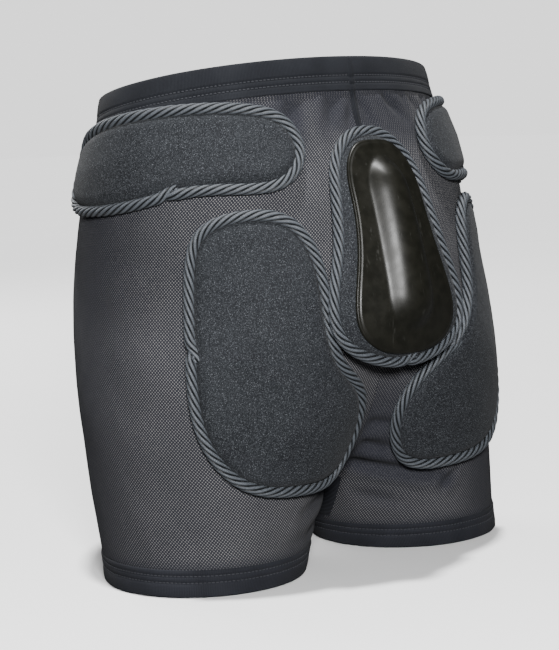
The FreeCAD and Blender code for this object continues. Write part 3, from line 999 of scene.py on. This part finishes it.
def share_near(outline, flat):
    """How far round a pad's outline a flat place is, as a share."""
    fine = closed_curve(outline, CORD_PLACES)
    return float(np.argmin(np.linalg.norm(fine - np.array(flat, float), axis=1))) / len(fine)


# name, outline, drum, centre, side, where the cord joins, seed of its unevenness
SOFT_PADS = [
    ("left_hip_pad", HIP, "hip", (15, 318), 1, (20, 291), 41),
    ("right_hip_pad", HIP, "hip", (15, 318), -1, (20, 291), 42),
    ("left_seat_pad", LEFT_SEAT, "seat", (32, 165), 1, (-20, 178), 43),
    ("right_seat_pad", RIGHT_SEAT, "seat", (30, 145), -1, (78, 164), 44),
]
for label, outline, drum, centre, side, join, seed in SOFT_PADS:
    make_pad(label, outline, drum, centre, side, [label + "_cover", label + "_foam"], seed)
    path, out = cord_path(outline, drum, side, share_near(outline, join))
    make_cord(label + "_cord", path, out, [label + "_edging_cord"])


def make_tail_pad():
    """The tailbone pad stands further off towards its foot, with its side wall showing below the cord."""
    edge_height, body_height, taper = -6.2, 0.4, 2.5
    curve = inset(closed_curve(TAIL_PAD, PAD_COLUMNS), PAD_INSET)
    centre = np.array((0.0, 240.0))
    flat, depth = flat_grid(curve, centre, PAD_RINGS)
    top, _ = on_drum(flat, "tail", edge_height + cap_height(depth, 6.4, 8.0, 0.0, 40), 1.0)
    walls = []
    for step in np.linspace(0.12, 1.0, 8):
        ring = inset(curve, taper * smooth(0, 1, step))
        upper, _ = on_drum(ring, "tail", edge_height, 1.0)
        lower, _ = on_drum(ring, "tail", body_height)
        walls.append(upper + (lower - upper) * step)
    under, _ = on_drum(polar(inset(curve, taper), centre, UNDER_RINGS), "tail", body_height)
    faces = polar_faces(PAD_COLUMNS, len(PAD_RINGS))
    above, row = 0, len(top)
    for _ in walls:
        faces += ring_joint(PAD_COLUMNS, above, row)
        above, row = row, row + PAD_COLUMNS
    faces += polar_faces(PAD_COLUMNS, len(UNDER_RINGS), row, flip=True)
    faces += ring_joint(PAD_COLUMNS, above, row)
    made = new_mesh("tailbone_pad", np.vstack([top, *walls, under]), faces)
    finish_piece(made, PAD, ["tailbone_pad_cover", "tailbone_pad_foam"])
    path, out = cord_path(TAIL_PAD, "tail", 1, share_near(TAIL_PAD, (0, 160)), height=-4.0, tail=1.0)
    make_cord("tailbone_pad_cord", path, out, ["tailbone_pad_edging_cord"])


def make_shell():
    """The hard shell: a thin flange, a step up to a domed plate, and a long raised ridge."""
    ridge_foot, ridge_top, ridge_half_width, ridge_height = 212, 286, 21.0, 9.4
    curve = closed_curve(SHELL_RIM, PAD_COLUMNS)
    centre = np.array((0.0, 245.0))
    flat, depth = flat_grid(curve, centre, SHELL_RINGS)
    height = 0.4 + cap_height(depth, 1.8, 1.1, 0.0, 1)
    height += 0.7 * smooth(2.4, 3.6, depth) + 3.6 * smooth(3, 36, depth)
    x, z = flat[:, 0], flat[:, 1]
    past_end = (z - np.clip(z, ridge_foot, ridge_top)) * 0.72
    away = np.clip(np.hypot(x, past_end) / ridge_half_width, 0, 1)
    height += ridge_height * (1 - away**2) * (1 - away**6)
    top, _ = on_drum(flat, "tail", height, 1.0)
    under, _ = on_drum(polar(curve, centre, UNDER_RINGS), "tail", 0.15, 1.0)
    faces = capped_faces(len(SHELL_RINGS), len(UNDER_RINGS))
    made = new_mesh("tailbone_hard_shell", np.vstack([top, under]), faces)
    finish_piece(made, SHELL, ["tailbone_shell"])


make_tail_pad()
make_shell()

# ---- centre back seam and crotch gusset


def make_back_seam():
    """The raised welt down the middle of the back, from the top of the waistband to the tailbone pad."""
    crest = float(waist_top(BACK(390.0) + DEEP(390.0))) - 1.0
    rows, columns, half_width, foot = 70, 25, 3.2, 334.0
    xx, zz = np.meshgrid(np.linspace(-half_width, half_width, columns), np.linspace(foot, crest, rows))
    x, z = np.abs(xx.reshape(-1)), zz.reshape(-1)
    reach = body_reach(z, z > 0)
    cx, cy, a, b = SIDE(z), BACK(z), WIDE(z), DEEP(z)
    y = cy + b * np.sqrt(np.clip(1 - ((np.sqrt(x**2 + reach**2) - cx) / a) ** 2, 0, 1))
    on_band = smooth(crest - BAND_HEIGHT + 0.5, crest - BAND_HEIGHT + 2.5, z)
    welt = 0.55 * (1 - smooth(2.3, half_width, x)) + (1.0 - 0.75 * on_band) * np.exp(-((x / 1.0) ** 2)) - 0.35
    furrows = sum(np.exp(-(((z - crest + row) / 1.0) ** 2)) for row in BAND_STITCHES)
    swell = 0.5 * on_band * np.sin(math.pi * np.clip((crest - z) / BAND_STITCHES[0], 0, 1))
    lift = 1.55 * on_band + swell - 0.5 * furrows
    points = np.stack([xx.reshape(-1), y + welt + lift + 0.2, z], 1)
    faces = grid_faces(rows, columns)[:, ::-1]
    uv = np.stack([xx.reshape(-1), z], 1)
    made = new_mesh("centre_back_welt", points, faces, corner_uv(faces, uv))
    finish_piece(made, SEAM, ["centre_back_seam"], thick=0.8)


def make_gusset():
    """The diamond of cloth between the legs, on the inside. Its heights are found by halving."""
    rows, columns, halvings, gap = 61, 41, 30, 1.9
    middle, half_length, end_width, added_width = 4, 62, 4, 20
    along = np.linspace(middle - half_length, middle + half_length, rows)
    yy, xx = np.meshgrid(along, np.linspace(-1, 1, columns), indexing="ij")
    xx = xx * (end_width + added_width * np.clip(1 - np.abs(yy - middle) / half_length, 0, 1))
    x, y = np.abs(xx.reshape(-1)), yy.reshape(-1)
    low, high = np.full(x.shape, 20.0), np.full(x.shape, 175.0)
    for _ in range(halvings):
        z = (low + high) / 2
        soft = np.sqrt(x**2 + body_reach(z, y > middle) ** 2)
        inside = ((soft - SIDE(z)) / WIDE(z)) ** 2 + ((y - BACK(z)) / DEEP(z)) ** 2 < 1
        high, low = np.where(inside, z, high), np.where(inside, low, z)
    points = np.stack([xx.reshape(-1), y, high + gap], 1)
    faces = grid_faces(rows, columns)
    uv = np.stack([xx.reshape(-1), y], 1)
    made = new_mesh("crotch_gusset_cloth", points, faces, corner_uv(faces, uv))
    finish_piece(made, HEM, ["crotch_gusset"], thick=0.8)


make_gusset()
make_back_seam()

# ---- floor, light and camera


def make_floor():
    """A floor that looks pale to the camera but is dark otherwise, so that it hardly lights the object."""
    n = Nodes("pale studio floor")
    soft = n.noise(n.place(), 3, 2)
    pale = n.mix(soft, (0.88, 0.88, 0.88), (0.92, 0.92, 0.92))
    seen = n.add("ShaderNodeLightPath").outputs["Is Camera Ray"]
    n.set(Base_Color=n.mix(seen, (0.07, 0.07, 0.07), pale), Roughness=0.8, Specular_IOR_Level=0.0)
    bpy.ops.mesh.primitive_plane_add(size=30, location=(0, 0, -0.0006))
    floor = bpy.context.object
    floor.name = "studio_floor"
    floor.data.materials.append(n.material)


def area_light(name, place, target, size, power):
    """A white rectangular light at a place, facing a target."""
    light = bpy.data.lights.new(name, "AREA")
    light.shape = "RECTANGLE"
    light.size, light.size_y = size
    light.energy = power
    lamp = bpy.data.objects.new(name, light)
    lamp.location = place
    lamp.rotation_mode = "QUATERNION"
    lamp.rotation_quaternion = (Vector(target) - Vector(place)).to_track_quat("-Z", "Y")
    bpy.context.collection.objects.link(lamp)


def make_camera():
    """The camera stands behind the wearer and to their left, about as high as the waistband, pitched down.

    Gives its place and the way to its right.
    """
    azimuth, distance, height = math.radians(39.47), 1.4708, 0.3516
    yaw, pitch, roll = math.radians(-0.345), math.radians(6.57), math.radians(-2.1)
    data = bpy.data.cameras.new("camera")
    data.sensor_width = 36.0
    data.sensor_fit = "AUTO"
    data.lens = 101.4
    data.clip_start, data.clip_end = 0.05, 60
    camera = bpy.data.objects.new("camera", data)
    place = Vector((distance * math.sin(azimuth), distance * math.cos(azimuth), height))
    facing, level = azimuth + yaw, math.cos(pitch)
    forward = Vector((-math.sin(facing) * level, -math.cos(facing) * level, -math.sin(pitch)))
    right = forward.cross(Vector((0, 0, 1))).normalized()
    up = right.cross(forward)
    turned_right = math.cos(roll) * right + math.sin(roll) * up
    turned_up = -math.sin(roll) * right + math.cos(roll) * up
    turned = Matrix((turned_right, turned_up, -forward)).transposed().to_4x4()
    camera.matrix_world = Matrix.Translation(place) @ turned
    bpy.context.collection.objects.link(camera)
    bpy.context.scene.camera = camera
    return place, right


def make_world():
    """A backdrop that looks pale but lights the object only dimly."""
    world = bpy.data.worlds.new("studio")
    bpy.context.scene.world = world
    world.use_nodes = True
    tree = world.node_tree
    room = tree.nodes["Background"]
    room.inputs["Color"].default_value = (1, 1, 1, 1)
    room.inputs["Strength"].default_value = 0.055
    backdrop = tree.nodes.new("ShaderNodeBackground")
    backdrop.inputs["Strength"].default_value = 2.0
    either = tree.nodes.new("ShaderNodeMixShader")
    tree.links.new(tree.nodes.new("ShaderNodeLightPath").outputs["Is Camera Ray"], either.inputs[0])
    tree.links.new(room.outputs[0], either.inputs[1])
    tree.links.new(backdrop.outputs[0], either.inputs[2])
    tree.links.new(either.outputs[0], tree.nodes["World Output"].inputs["Surface"])


make_floor()
eye, rightward = make_camera()
make_world()
middle = Vector((0, 0, 0.2))
area_light("flash", eye + Vector((0, 0, 0.25)) + rightward * 0.1, middle, (0.28, 0.2), 42)
area_light("left window", middle + Vector((1.9, -0.3, 1.0)), middle, (0.9, 0.9), 0.8)
area_light("front", middle + Vector((0.0, -2.1, 1.2)), middle, (1.2, 1.2), 30)
wash = bpy.data.lights.new("floor wash", "SUN")
wash.energy, wash.angle = 5.6, math.radians(5)
bpy.context.collection.objects.link(bpy.data.objects.new("floor wash", wash))
